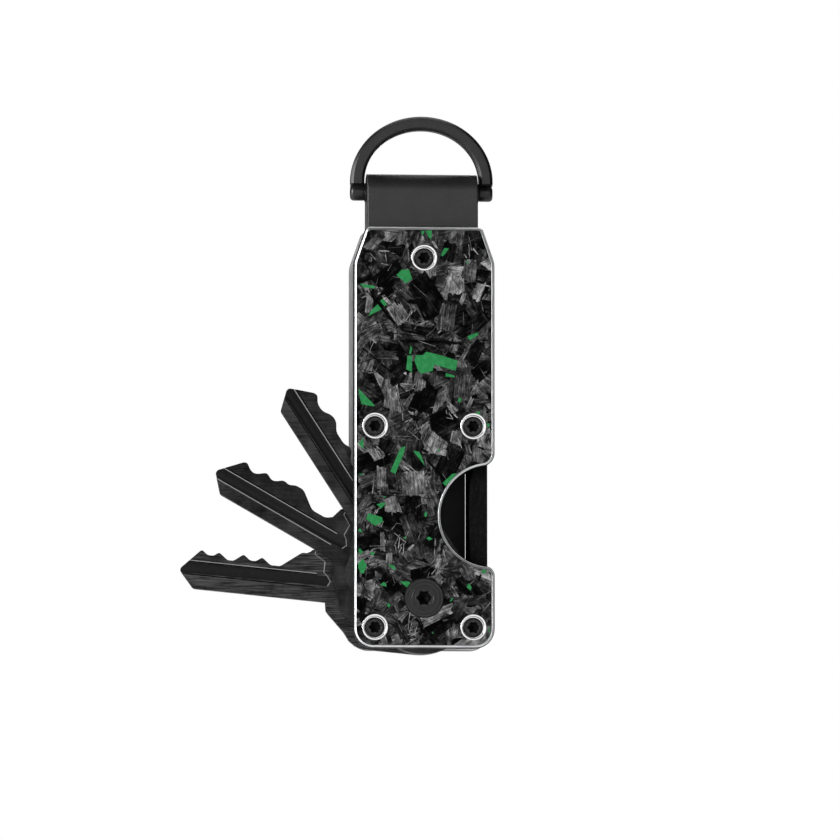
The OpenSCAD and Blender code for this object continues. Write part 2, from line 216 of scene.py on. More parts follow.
def black_steel(name, base, gloss, low, high):
    f = Finish(name)
    f.shader.inputs["Specular IOR Level"].default_value = gloss
    where = f.millimetres()
    f.set("Base Color", f.ramp(f.noise(where, 1.1, 4), (0.3, base * 0.75), (0.7, base * 1.3)))
    f.set("Roughness", f.scaled(f.noise(where, 3.2, 4), low, high))
    f.bump(f.noise(where, 9, 3), 0.008, 0.5)
    return f.material


def milled_black(name, turn, base, shine, marks):
    """Blackened steel with fine parallel cutter marks that run along the given turn."""
    f = Finish(name)
    where = f.millimetres()
    lines = f.noise(f.millimetres((6, 5, 0.2), (0, turn, 0)), 1, 3, 0.7)
    sheen = f.maths("ADD", f.maths("MULTIPLY", lines, marks),
                    f.maths("MULTIPLY", f.noise(where, 0.25, 3), 1.2))
    sheen = f.maths("ADD", f.maths("SUBTRACT", sheen, marks / 2 + 0.6), shine)
    f.set("Specular IOR Level", f.node("Clamp", {"Value": sheen, "Min": 0.04}).outputs[0])
    f.set("Base Color", f.ramp(f.maths("ADD", f.maths("MULTIPLY", lines, 0.6),
                                       f.maths("MULTIPLY", f.noise(where, 1.3, 4), 0.4)),
                               (0.3, base * 0.3), (0.7, base * 2.0)))
    f.set("Roughness", f.scaled(f.noise(where, 2.2, 4), 0.28, 0.42))
    under = f.bump(f.noise(where, 6, 3), 0.01, 0.5)
    f.bump(lines, 0.035, 0.8, under)
    return f.material


def leather():
    f = Finish("leather")
    f.shader.inputs["Specular IOR Level"].default_value = 0.75
    where = f.millimetres()
    cells = f.node("TexVoronoi", {"Vector": where, "Scale": 2.3, "Randomness": 1.0},
                   feature="DISTANCE_TO_EDGE").outputs["Distance"]
    pores = f.noise(where, 4.2, 4, 0.65)
    broad = f.noise(where, 0.28, 3)
    f.set("Base Color", f.ramp(f.maths("ADD", f.maths("MULTIPLY", pores, 0.5),
                                       f.maths("MULTIPLY", broad, 0.5)),
                               (0.3, (0.006, 0.006, 0.006)), (0.7, (0.016, 0.016, 0.016))))
    f.set("Roughness", f.scaled(pores, 0.36, 0.52))
    creases = f.scaled(f.node("Clamp", {"Value": f.maths("MULTIPLY", cells, 4)}).outputs[0], 0, 1)
    under = f.bump(creases, 0.03, 0.5)
    f.bump(pores, 0.03, 0.6, under)
    return f.material


def woven_band():
    f = Finish("woven_band", Roughness=0.8)
    f.shader.inputs["Specular IOR Level"].default_value = 0.03
    where = f.millimetres()
    fuzz = f.noise(where, 3.5, 5, 0.7)
    threads = f.noise(f.millimetres((0.5, 0.5, 2.2)), 1.2, 3, 0.6)
    tone = f.maths("ADD", f.maths("MULTIPLY", threads, 0.3), f.maths("MULTIPLY", fuzz, 0.7))
    f.set("Base Color", f.ramp(tone, (0.35, 0.003), (0.5, 0.006), (0.68, 0.02)))
    f.set("Roughness", f.scaled(fuzz, 0.65, 0.95))
    f.bump(tone, 0.06, 0.8)
    return f.material


def moulded(name, base, low, high):
    f = Finish(name)
    f.shader.inputs["Specular IOR Level"].default_value = 0.3
    where = f.millimetres()
    f.set("Base Color", f.ramp(f.noise(where, 1.4, 4), (0.3, base * 0.7), (0.7, base * 1.4)))
    f.set("Roughness", f.scaled(f.noise(where, 2.6, 3), low, high))
    f.bump(f.noise(where, 5, 4, 0.6), 0.02, 0.5)
    return f.material


RIM_METAL = blasted_metal()
CARBON = forged_carbon()
GREEN = green_flake()
CUP = polished_steel("polished_cup", (0.95, 0.95, 0.96), 0.05, 0.14)
STEEL = polished_steel("plain_steel", (0.62, 0.62, 0.63), 0.22, 0.4, 0.01)
BRASS = polished_steel("insert_brass", (0.72, 0.5, 0.22), 0.2, 0.36, 0.01)
SCREW = black_steel("black_screw", 0.006, 0.5, 0.2, 0.34)
PIVOT = black_steel("black_pivot", 0.007, 0.5, 0.26, 0.36)
RING = black_steel("ring_black", 0.01, 0.5, 0.26, 0.38)
# Painted highlight: lighter steel strips on the keys' edges, standing in for the light those edges catch
EDGE_HIGHLIGHT = polished_steel("painted_edge_highlight", (0.36, 0.36, 0.36), 0.3, 0.45)
# Painted shade: a darker, duller black for the keys' channels
GROOVE_SHADE = black_steel("groove_painted_shade", 0.005, 0.16, 0.35, 0.5)
# Painted shade: a near-black, dull finish for the star sockets, and painted shadow for the black strips
# along the keys' channel edges
SHADOW_BLACK = black_steel("painted_shadow_black", 0.002, 0.05, 0.4, 0.55)
# Painted shade and painted light: the plates' side walls, black on the front plate and grey on the back
# plate
WALL_SHADE = black_steel("wall_painted_shade", 0.006, 0.2, 0.45, 0.6)
EDGE = black_steel("wall_painted_light", 0.16, 0.4, 0.5, 0.65)
LEATHER = leather()
BAND = woven_band()
LINER = moulded("liner_black", 0.006, 0.55, 0.75)
BUSH = moulded("bush_black", 0.008, 0.4, 0.6)


# ---- mesh helpers -----------------------------------------------------------------
def finish_piece(name, mesh, body, slot, nodes, *materials):
    """Links a mesh as a piece that rides on a body and stands for some CAD nodes."""
    piece = bpy.data.objects.new(name, mesh)
    bpy.context.scene.collection.objects.link(piece)
    for material in materials:
        mesh.materials.append(material)
    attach(piece, body)
    if nodes:
        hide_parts(*nodes)
    return piece


def bm_to_mesh(bm, name):
    bmesh.ops.remove_doubles(bm, verts=bm.verts, dist=1e-8)
    bmesh.ops.recalc_face_normals(bm, faces=bm.faces)
    mesh = bpy.data.meshes.new(name)
    bm.to_mesh(mesh)
    bm.free()
    return mesh


def smooth(mesh, angle=32):
    mesh.polygons.foreach_set("use_smooth", [True] * len(mesh.polygons))
    mesh.set_sharp_from_angle(angle=math.radians(angle))


def settle(piece, angle=32):
    """Applies a piece's modifiers and shades what comes out."""
    graph = bpy.context.evaluated_depsgraph_get()
    mesh = bpy.data.meshes.new_from_object(piece.evaluated_get(graph))
    piece.modifiers.clear()
    piece.data = mesh
    smooth(mesh, angle)


def bevel(piece, width, segments=2, angle=30, shade=32):
    made = piece.modifiers.new("bevel", "BEVEL")
    made.width, made.segments = width * MM, segments
    made.limit_method, made.angle_limit = "ANGLE", math.radians(angle)
    made.use_clamp_overlap = True
    settle(piece, shade)


def loft(bm, rings, caps=(True, True)):
    """Joins rings of the same number of points with quads, and closes both ends."""
    loops = [[bm.verts.new(p) for p in ring] for ring in rings]
    count = len(loops[0])
    for a, b in zip(loops, loops[1:]):
        for i in range(count):
            j = (i + 1) % count
            bm.faces.new((a[i], a[j], b[j], b[i]))
    if caps[0]:
        bm.faces.new(loops[0])
    if caps[1]:
        bm.faces.new(loops[-1][::-1])


def arc(cx, cy, r, start, end, steps):
    """Points on an arc, both ends included, in degrees."""
    turns = [math.radians(start + (end - start) * i / steps) for i in range(steps + 1)]
    return [(cx + r * math.cos(t), cy + r * math.sin(t)) for t in turns]


def fillet(corners, steps=8):
    """A closed outline whose corners (x, y, radius) are rounded."""
    made = []
    for i, (x, y, r) in enumerate(corners):
        here = Vector((x, y))
        before = Vector(corners[i - 1][:2]) - here
        after = Vector(corners[(i + 1) % len(corners)][:2]) - here
        if not r:
            made.append((x, y))
            continue
        a, b = before.normalized(), after.normalized()
        half = a.angle(b) / 2
        middle = here + (a + b).normalized() * (r / math.sin(half))
        start = here + a * (r / math.tan(half)) - middle
        sweep = start.angle_signed(here + b * (r / math.tan(half)) - middle)
        for k in range(steps + 1):
            t = -sweep * k / steps
            made.append((middle.x + start.x * math.cos(t) - start.y * math.sin(t),
                         middle.y + start.x * math.sin(t) + start.y * math.cos(t)))
    return made


def inset(points, d):
    """An anticlockwise outline moved inwards by d, point by point."""
    made, count = [], len(points)
    for i in range(count):
        a, b, c = (Vector(points[(i + k) % count]) for k in (-1, 0, 1))
        n1, n2 = (Vector((-(q - p).y, (q - p).x)).normalized() for p, q in ((a, b), (b, c)))
        n = n1 + n2
        made.append(tuple(b + n * (d * 2 / max(n.length_squared, 0.4))))
    return made


def case_outline():
    """The plate's outline, anticlockwise from its lower left corner."""
    shoulder_h = CASE_H - SHOULDER_DROP
    left = [(-HALF_W + SHOULDER_IN, CASE_H, TOP_R), (-HALF_W, shoulder_h, SHOULDER_R),
            (-HALF_W, 0, CORNER_R)]
    right = [(HALF_W, 0, CORNER_R), (HALF_W, shoulder_h, SHOULDER_R),
             (HALF_W - SHOULDER_IN, CASE_H, TOP_R)]
    points = fillet(right + left, 10)
    cx = HALF_W - NOTCH_IN
    lips = []
    for side, lip_r in ((-1, LIP_LOW_R), (1, LIP_TOP_R)):
        x = HALF_W - lip_r
        h = NOTCH_H + side * math.sqrt((NOTCH_R + lip_r) ** 2 - (x - cx) ** 2)
        lips.append((x, h, lip_r, math.degrees(math.atan2(h - NOTCH_H, x - cx))))
    (x0, h0, r0, a0), (x1, h1, r1, a1) = lips
    mouth = arc(x0, h0, r0, 0, a0 + 180, 10)
    mouth += arc(cx, NOTCH_H, NOTCH_R, a0, a1 - 360, 56)[1:-1]
    mouth += arc(x1, h1, r1, a1 - 180, 0, 12)
    return points[:11] + mouth + points[11:]


def polygon_ring(points, y):
    return [at(x, y, h) for x, h in points]


def round_outline(place, r, count=48, wave=0.0):
    """A circle, or a six-lobed star where wave is not 0, anticlockwise."""
    turns = [2 * math.pi * i / count for i in range(count)]
    return [(place[0] + r * (1 + wave * math.cos(6 * t)) * math.cos(t),
             place[1] + r * (1 + wave * math.cos(6 * t)) * math.sin(t)) for t in turns]


def turned(bm, place, rings, side=1, count=48, closed_ends=(True, True)):
    """A turned shape about Y: rings are (radius, y, wave), from its outer end on."""
    loft(bm, [polygon_ring(round_outline(place, ring[0], count, ring[2] if len(ring) > 2 else 0),
                           side * ring[1]) for ring in rings], closed_ends)


def subtract(piece, bm, index=0):
    """Cuts a closed cutter out of a piece; the cut faces take the given material."""
    cutter = bpy.data.objects.new("cutter", bm_to_mesh(bm, "cutter"))
    for material in piece.data.materials:
        cutter.data.materials.append(material)
    cutter.data.polygons.foreach_set("material_index", [index] * len(cutter.data.polygons))
    bpy.context.scene.collection.objects.link(cutter)
    made = piece.modifiers.new("cut", "BOOLEAN")
    made.operation, made.object, made.solver = "DIFFERENCE", cutter, "EXACT"
    settle(piece)
    bpy.data.objects.remove(cutter)


# ---- plates -----------------------------------------------------------------------
def make_plate(name, side):
    outline = case_outline()
    profile = [(0.12, PLATE_Y), (0, PLATE_Y + 0.12), (0, CASE_Y - 0.45), (0.05, CASE_Y - 0.33),
               (0.19, CASE_Y - 0.2), (0.27, CASE_Y - 0.21), (0.31, CASE_Y - 0.12), (0.51, CASE_Y - 0.01),
               (0.55, CASE_Y), (0.58, CASE_Y - 0.02), (RIM, CASE_Y - 0.05), (RIM, INLAY_Y - 0.01)]
    bm = bmesh.new()
    loft(bm, [polygon_ring(inset(outline, d), -side * y) for d, y in profile])
    bm.faces.ensure_lookup_table()
    # Painted shade and painted light: the side wall and its chamfer take a black on the front plate and
    # a grey on the back plate, but the chamfer along the top edge keeps the bare metal
    wall_faces, chamfer_faces = 2 * len(outline), 4 * len(outline)
    for i, face in enumerate(bm.faces):
        on_top = i >= wall_faces and face.calc_center_median().z > BASE_Z + (CASE_H - 0.4) * MM
        face.material_index = 1 if i < chamfer_faces and not on_top else 0
    mesh = bm_to_mesh(bm, name)
    piece = finish_piece(name, mesh, "case", "bare_aluminium", [name],
                         RIM_METAL, WALL_SHADE if side > 0 else EDGE)
    cutters = bmesh.new()
    for place in SCREWS:
        turned(cutters, place, [(CUP_SEAT_R, -CASE_Y - 1), (CUP_SEAT_R, -CASE_Y + 1.5),
                                (SCREW_R, -CASE_Y + 1.5), (SCREW_R, -PLATE_Y + 1)], side)
    turned(cutters, (0, PIVOT_H), [(HEAD_SEAT_R, -CASE_Y - 1), (HEAD_SEAT_R, -CASE_Y + 1.4),
                                   (SLEEVE_R, -CASE_Y + 1.4), (SLEEVE_R, -PLATE_Y + 1)], side)
    subtract(piece, cutters)
    smooth(piece.data, 22)


make_plate("front_plate", 1)
make_plate("back_plate", -1)


# ---- forged carbon inlays -----------------------------------------------------------
# The shade column is painted sheen: how light a chip's glossy strands look at their angle, painted into
# its colour
# Chips placed one by one: (x, height, length along the strands, width, direction, shade)
CHIPS = [
    (-9.9, 82.8, 4.8, 2.0, 48, 0.5), (-4.5, 83.5, 3, 2.3, 80, 0.56),
    (-1.2, 83.2, 3, 1.2, 80, 0.48), (2.5, 83.2, 3.2, 0.8, 88, 0.52),
    (11.8, 79.9, 1.8, 1.8, 70, 0.46), (9.3, 76.8, 4.4, 2.8, 85, 0.58),
    (11, 72.7, 3.4, 2.2, 65, 0.72), (6.8, 73.9, 3.4, 2.9, 86, 0.74),
    (7.8, 71.1, 2.2, 0.8, 70, 0.74), (-7.7, 70.7, 2.4, 0.8, 130, 0.62),
    (-5.7, 67.9, 4.4, 2.2, 125, 0.72), (-4.6, 68.4, 3, 1.6, 120, 0.64),
    (-11.2, 64, 4.6, 3.4, 30, 0.48), (-13, 61.5, 2.4, 1.6, 60, 0.54),
    (-11.6, 58, 4.2, 3, 68, 0.6), (4.6, 67.2, 5.2, 3.6, 80, 0.46),
    (3.5, 66.9, 4.2, 0.3, 86, 0.66), (8.1, 59.6, 4.4, 0.9, 60, 0.6),
    (-1.2, 54.7, 2.5, 2, 80, 0.58), (1.7, 54.9, 2.5, 1.5, 85, 0.48),
    (-7.6, 54.3, 2, 1.6, 75, 0.5), (12.9, 64, 2.6, 0.5, 88, 0.52),
    (-6.6, 50.6, 4.6, 3.5, 92, 0.6), (-7.5, 53.8, 1.6, 1, 90, 0.6),
    (-0.7, 53.6, 2.4, 2, 80, 0.62), (7.8, 53, 5, 3.4, 85, 0.46), (10.4, 52.8, 2.8, 0.9, 62, 0.62),
    (9.2, 49.6, 3, 0.9, 66, 0.56), (2.6, 41.1, 3.8, 4.9, 70, 0.66),
    (6.5, 42.8, 2.8, 2.2, 80, 0.7), (10.8, 39.7, 4, 2.3, 92, 0.58), (12.8, 42.6, 2, 0.6, 75, 0.5),
    (-4.6, 46.8, 3.6, 2.4, 30, 0.4), (-3.7, 44, 4, 3.2, 35, 0.4), (0, 44.6, 2.6, 0.9, 50, 0.64),
    (5.8, 48.6, 1.8, 1.4, 140, 0.7), (-8.7, 34.6, 4.2, 1.9, 90, 0.6),
    (-8.4, 32.3, 1, 2.2, 90, 0.6), (-11.6, 34.2, 3.6, 3, 20, 0.48),
    (-2.2, 33.4, 4.8, 4.8, 95, 0.58), (1.8, 31.5, 5, 1.6, 105, 0.54),
    (1, 29.8, 6, 1.3, 100, 0.52), (-6.6, 29.1, 3.2, 3.4, 102, 0.72),
    (-12.7, 27.8, 5.6, 2.4, 62, 0.52), (-10.7, 39.4, 2.4, 0.7, 130, 0.72),
    (-9.2, 40.2, 3, 0.5, 130, 0.5), (-3.2, 50.5, 2.8, 0.6, 52, 0.5), (-8.5, 21.6, 4, 1, 92, 0.64),
    (-7.2, 17.6, 3.2, 1.3, 86, 0.56), (-2.4, 24.6, 5.2, 4, 112, 0.34),
    (1.6, 18.6, 3, 3, 60, 0.48), (2.7, 17.2, 1.8, 1, 70, 0.72), (-12.3, 12.2, 4, 1.5, 95, 0.42),
    (-9.3, 10, 3, 2.2, 70, 0.5), (-4.3, 7.2, 3.2, 2.2, 48, 0.56), (7.4, 8.8, 5, 2.4, 55, 0.42),
    (6, 11.4, 2.4, 0.8, 122, 0.6), (6.2, 3.8, 2.4, 1.6, 75, 0.5), (-2, 0.9, 2, 0.5, 20, 0.66),
    (11.4, 19, 3.4, 1.8, 60, 0.44), (8.6, 15.4, 3.4, 2.2, 120, 0.42), (10.6, 9.6, 4, 2, 15, 0.3),
]
# Dark chips under them, placed the same way
DARK_CHIPS = [
    (0.6, 71.4, 9, 6, 120, 0.1), (-7, 75.6, 6, 4.4, 40, 0.1), (-4.5, 57, 4.4, 4, 45, 0.14),
    (10.4, 60.2, 5, 3, 60, 0.12), (0, 50.6, 6, 5, 70, 0.04), (3.6, 46.4, 5, 4, 30, 0.05),
    (5, 37.4, 6.4, 4.4, 65, 0.14), (-8.5, 41.2, 2.6, 1.6, 80, 0.02),
    (-12.3, 37.8, 4, 3.4, 25, 0.05), (-9, 37.4, 6, 1.8, 25, 0.05), (-2.3, 29, 4.6, 4, 88, 0.16),
    (-11.3, 32.4, 1.8, 1.8, 20, 0.1), (-2, 38, 4, 3.4, 110, 0.22), (-6.4, 26, 7, 4, 150, 0.05),
    (-11, 21.6, 5, 3, 20, 0.08), (-0.4, 15.2, 5, 2.6, 15, 0.08), (-7, 13, 4.4, 3, 130, 0.06),
    (-13, 8, 4, 2.4, 80, 0.08), (3.6, 4.6, 7, 2.6, 28, 0.12), (9.4, 12, 6, 3, 130, 0.12),
    (2, 22.6, 5, 3, 60, 0.14), (5, 80.6, 4, 3, 75, 0.12), (12.4, 84, 5, 2.4, 60, 0.1),
    (-12.2, 74.9, 3, 1.2, 20, 0.02), (11.4, 66.6, 4, 3, 40, 0.12),
    (1.5, 62.2, 13, 0.7, 178, 0.06), (-1.4, 64.6, 7, 2, 170, 0.14), (-6.4, 81.6, 2, 5, 70, 0.08),
    (11.8, 56.4, 4, 3, 40, 0.08), (3, 55.9, 5, 1.4, 160, 0.04),
]
# Long dark strands that lie over the rest
DARK_STRANDS = [
    (-8.8, 69.2, 8.9, 0.5, 130, 0.0), (-10.6, 75.6, 9, 0.3, 119, 0.0),
    (-6, 45.2, 8, 0.2, 24, 0.0), (-9.6, 58.4, 8, 0.35, 140, 0.0), (1.6, 47.6, 7, 0.14, 100, 0.0),
    (3.4, 35, 8, 0.5, 132, 0.0),
]
# Fans of loose bright strands: (x, height, main direction)
FANS = [
    (-4.9, 21, 62), (5.6, 48.4, 130), (2.9, 17.4, 70), (-10.8, 17, 35), (-2, 2.9, 25),
    (-0.2, 44.4, 60), (9.6, 80.4, 130), (-2.8, 66.8, 60), (-2.6, 5.2, 70), (-9.4, 79.4, 140),
    (-10, 39.6, 130), (-3.2, 35.4, 130),
]
# Green flakes, corner by corner: (x, height)
FLAKES = [
    [(0.3, 84.9), (1.5, 85), (1.5, 83.8), (1.3, 83.1), (0.8, 83.8)],
    [(4.1, 81.4), (5, 81.3), (4.4, 80.4), (3.8, 79.7), (3.4, 79.8), (3.6, 80.5)],
    [(-4.6, 76.9), (-3.1, 76.9), (-2.5, 75.1), (-3.7, 74.1), (-5.7, 75.8)],
    [(-13.1, 74), (-10, 73.5), (-10.2, 73), (-12.4, 73.2)],
    [(8.5, 78.9), (9.2, 78.3), (8.6, 78.4)], [(-8.4, 71), (-7.6, 69.8), (-8.1, 69.4), (-9, 70.5)],
    [(-0.6, 84.9), (0, 84.8), (-0.2, 84.1), (-0.6, 84.2)],
    [(-9.5, 69.8), (-8.7, 68.8), (-11.4, 67.4), (-10.9, 68.4)],
    [(10.8, 64.2), (11.1, 63.8), (9.3, 62.6), (8.7, 63.4)],
    [(-2.8, 61.4), (-2.5, 61), (-2.7, 59.7), (-3.1, 59.8)],
    [(-3.4, 59.4), (-2.5, 59.4), (-2.5, 56), (-3.7, 56.6)],
    [(-1.7, 59.5), (-0.3, 59.5), (0.4, 60.2), (0.9, 60.1), (3.7, 59.4), (6.8, 58.4),
     (6.4, 56.4), (5.6, 56.6), (2, 57.6), (1.7, 56.3), (-0.7, 55.7), (-1.3, 56.5), (-2, 58.3)],
    [(4.4, 55.9), (6.1, 55.4), (6.2, 55), (4.3, 55.2)],
    [(-13.4, 52.6), (-10, 49.1), (-11.1, 49.1), (-12.8, 49.5), (-13.2, 51.2)],
    [(7.2, 51), (7.6, 50.5), (7.2, 49.8), (6.8, 50.4)],
    [(10.6, 48), (11.3, 48.1), (11.4, 47.4), (10.5, 47.7)],
    [(12.8, 46), (13.4, 45.2), (12.9, 44.9)], [(-12.4, 42.6), (-12.4, 40.3), (-13.4, 41.4)],
    [(-3.9, 41), (-4.1, 39.7), (-5.9, 35.3), (-6.9, 35.8), (-4.9, 40.5)],
    [(-2.3, 40), (-1.2, 39.9), (-0.7, 39.2), (0.1, 37), (-1.1, 38.5)],
    [(3, 40.5), (3.2, 40.2), (2.9, 39.9), (2.7, 40.2)],
    [(5.7, 35.4), (6.6, 35.5), (4.4, 32.9), (3.7, 33.5)],
    [(-13.5, 35.2), (-12.4, 35.4), (-12.5, 35.1)], [(-8.4, 30.8), (-7.8, 30.7), (-8.1, 30.4)],
    [(-9.7, 29.1), (-8.2, 29.5), (-7.8, 29.3), (-8.8, 28.3)],
    [(-11.4, 27.3), (-8.6, 26.5), (-8.4, 25.5), (-10.1, 24.8), (-11.8, 26.1)],
    [(0.3, 27.8), (0.6, 27.2), (0.3, 26.5), (-0.1, 27)],
    [(0.9, 22.6), (1.7, 22.2), (1, 21.8), (0.4, 22.3)],
    [(-13, 24.2), (-12.6, 23.4), (-13.3, 23.6), (-13.4, 24)],
    [(-4.3, 22.5), (-3.5, 22.4), (-4, 22.1)],
    [(-13.1, 20.2), (-12.4, 19.4), (-13.1, 19), (-13.4, 19.8)],
    [(-10.9, 19.5), (-10, 19.2), (-10.5, 18.7), (-10.9, 19)],
    [(-12.5, 18.1), (-11.7, 16.7), (-12.3, 15.1), (-12.9, 15.1), (-13.4, 16.2), (-13.4, 17.2)],
    [(-7.3, 17), (-6.2, 16.7), (-5.8, 16), (-6.3, 15.9), (-6.9, 16.4)],
    [(-9, 12.8), (-8.2, 13.4), (-7.7, 12.9), (-7.7, 12.4)],
    [(-5, 13.5), (-3.1, 13.5), (-2.8, 13), (-3.3, 12.1)],
    [(-7.3, 9.2), (-6.8, 8.6), (-7.3, 8.2), (-7.6, 8.6)],
    [(12.2, 16.1), (12.6, 15.8), (12.3, 15.1), (11.5, 15.5)],
    [(9, 13.2), (9.6, 12.5), (9.4, 11.7), (8.6, 12.4)],
    [(5.7, 10.3), (5.8, 10), (5.4, 9.4), (5.2, 9.6)], [(1.7, 3.4), (1.8, 3), (1.5, 3)],
    [(13.2, 4.6), (13.3, 3.4), (13, 3.4)],
]


def strand_chip(rng, x, h, length, width, angle):
    """A bundle of strands with straight sides and torn ends."""
    turn = math.radians(angle)
    ux, uy = math.cos(turn), math.sin(turn)
    strips = max(1, round(width / 0.3))
    torn = min(0.2, 0.05 * length) + (0.22 if rng.random() < 0.3 else 0)
    taper = rng.uniform(0.72, 1.0)
    slants = [rng.uniform(-0.5, 0.5) * min(width, 2.5), rng.uniform(-0.5, 0.5) * min(width, 2.5)]
    ends = []
    for side in (1, -1):
        for k in range(strips + 1):
            across = (k / strips - 0.5) * side
            reach = length / 2 + rng.uniform(-torn, torn) + slants[side] * across
            v = across * width * (taper if side > 0 else 1)
            u = side * reach
            ends.append((x + ux * u - uy * v, h + uy * u + ux * v))
    return ends


def turn_left(outline):
    """The outline in its anticlockwise order."""
    area = sum(a[0] * b[1] - b[0] * a[1] for a, b in zip(outline, outline[1:] + outline[:1]))
    return outline if area > 0 else outline[::-1]


def flake(rng, x, h, length, width, lean, corners):
    """A flat flake with a few straight edges."""
    turn = math.radians(lean)
    made = []
    for k in range(corners):
        t = 2 * math.pi * (k + (0.5 if corners == 4 else 0)) / corners + rng.uniform(-0.16, 0.16)
        reach = {3: 0.6, 4: 0.66, 5: 0.54}[corners]
        u, v = reach * length * math.cos(t), reach * width * math.sin(t)
        if corners == 3:
            u += 0.1 * length
        made.append((x + u * math.cos(turn) - v * math.sin(turn),
                     h + u * math.sin(turn) + v * math.cos(turn)))
    return made


def chip_layers(seed, placed):
    """The chips from the deepest to the topmost, as (outline, direction, shade, green)."""
    rng = random.Random(seed)

    def scatter(count, lengths, widths, shades):
        for _ in range(count):
            x, h = rng.uniform(-HALF_W, HALF_W), rng.uniform(0, CASE_H)
            angle = rng.uniform(0, 180)
            chip = strand_chip(rng, x, h, rng.uniform(*lengths), rng.uniform(*widths), angle)
            yield chip, angle, shades(), False

    layers = list(scatter(300, (4, 8.5), (1.8, 4), lambda: rng.gauss(0.42, 0.13)))
    layers += scatter(200, (1.8, 5), (0.8, 2.6), lambda: rng.gauss(0.42, 0.16))
    if placed:
        for x, h, length, width, angle, shade in DARK_CHIPS + CHIPS + DARK_STRANDS:
            layers.append((strand_chip(rng, x, h, length, width, angle), angle, shade, False))
    else:
        layers += scatter(90, (2.4, 5), (1.6, 3.6), lambda: rng.choice((0.06, 0.1, 0.55, 0.62, 0.7)))
    layers += scatter(170, (1, 7), (0.06, 0.18), lambda: 0.0)
    layers += scatter(150, (0.8, 4), (0.05, 0.13), lambda: rng.uniform(0.45, 0.75))
    layers += scatter(70, (0.5, 1.8), (0.2, 0.6), lambda: rng.choice((0.0, 0.1, 0.45, 0.6, 0.75)))
    for x, h, angle in (FANS if placed else []):
        for _ in range(8):
            lean = angle + rng.gauss(0, 22)
            chip = strand_chip(rng, x + rng.gauss(0, 0.9), h + rng.gauss(0, 0.9), rng.uniform(0.8, 2.6),
                               rng.uniform(0.1, 0.24), lean)
            layers.append((chip, lean, rng.uniform(0.55, 0.85), False))
    if placed:
        flakes = [turn_left(f) for f in FLAKES]
    else:
        flakes = [flake(rng, rng.uniform(-12.6, 12.6), rng.uniform(2, CASE_H - 2),
                        rng.uniform(0.8, 4), rng.uniform(0.6, 1.8), rng.uniform(0, 180),
                        rng.choice((3, 4, 5))) for _ in range(40)]
    return layers + [(f, 0.0, 0.5, True) for f in flakes]


def make_inlay(name, side, seed):
    """An inlay whose face is cut up into the visible part of every chip."""
    outer = inset(case_outline(), RIM + 0.05)
    face_edge = inset(outer, 0.04)
    holes = [round_outline(place, CUP_SEAT_R) for place in SCREWS]
    holes.append(round_outline((0, PIVOT_H), HEAD_SEAT_R, 64))
    layers = chip_layers(seed, side > 0)
    outlines = [face_edge] + holes + [layer[0] for layer in layers]
    points, loops = [], []
    for outline in outlines:
        loops.append(list(range(len(points), len(points) + len(outline))))
        points += [Vector(p) for p in outline]
    cells = delaunay_2d_cdt(points, [], loops, 1, 1e-5, True)
    first_chip = 1 + len(holes)
    bm = bmesh.new()
    angles = bm.loops.layers.float.new("strand_angle")
    # Painted sheen: each chip's shade, carried on its corners, sets how light it is painted
    shades = bm.loops.layers.float.new("strand_sheen")
    seeds = bm.loops.layers.float.new("strand_seed")
    verts = [bm.verts.new(at(p.x, -side * CASE_Y, p.y)) for p in cells[0]]
    for corners, inside in zip(cells[2], cells[5]):
        if 0 not in inside or any(1 <= i < first_chip for i in inside):
            continue
        top = max(inside)
        _, angle, shade, green = layers[top - first_chip] if top else (None, 20.0, 0.12, False)
        face = bm.faces.new([verts[i] for i in corners])
        face.material_index = 1 if green else 0
        for corner in face.loops:
            corner[angles] = math.radians(angle)
            corner[shades] = shade
            corner[seeds] = top * 7.3
    bmesh.ops.delete(bm, geom=[v for v in bm.verts if not v.link_faces], context="VERTS")
    rim = [e for e in bm.edges if len(e.link_faces) == 1]
    down = side * (CASE_Y - INLAY_Y) * MM
    deep = bmesh.ops.extrude_edge_only(bm, edges=rim)["geom"]
    for v in (g for g in deep if isinstance(g, bmesh.types.BMVert)):
        v.co.y += down
    finish_piece(name, bm_to_mesh(bm, name), "case", "forged_carbon", [name], CARBON, GREEN)


make_inlay("front_inlay", 1, 11)
make_inlay("back_inlay", -1, 23)


# ---- cups, screws and pivot ---------------------------------------------------------
def make_cups(name, side):
    bm = bmesh.new()
    face = -CASE_Y
    for place in SCREWS:
        turned(bm, place, [
            (2.65, face + 1.45), (2.65, face + 0.04), (2.63, face + 0.012), (2.6, face), (2.34, face),
            (2.3, face + 0.012), (2.24, face + 0.06), (2.2, face + 0.2), (2.2, face + 1.3),
            (1.1, face + 1.3), (1.05, face + 1.35), (1.05, face + 1.45)], side, 64, (False, False))
    mesh = bm_to_mesh(bm, name)
    finish_piece(name, mesh, "case", "polished_cup", [name], CUP)
    smooth(mesh, 50)


def mark_sockets(mesh, places, reach):
    """Gives the faces inside the star sockets their own near-black, dull finish: painted shade in the
    recesses.
    """
    for polygon in mesh.polygons:
        x, h = polygon.center.x / MM, (polygon.center.z - BASE_Z) / MM
        near = min(math.hypot(x - a, h - b) for a, b in places)
        if near < reach and abs(polygon.center.y) / MM > CASE_Y - 1.3:
            polygon.material_index = 1


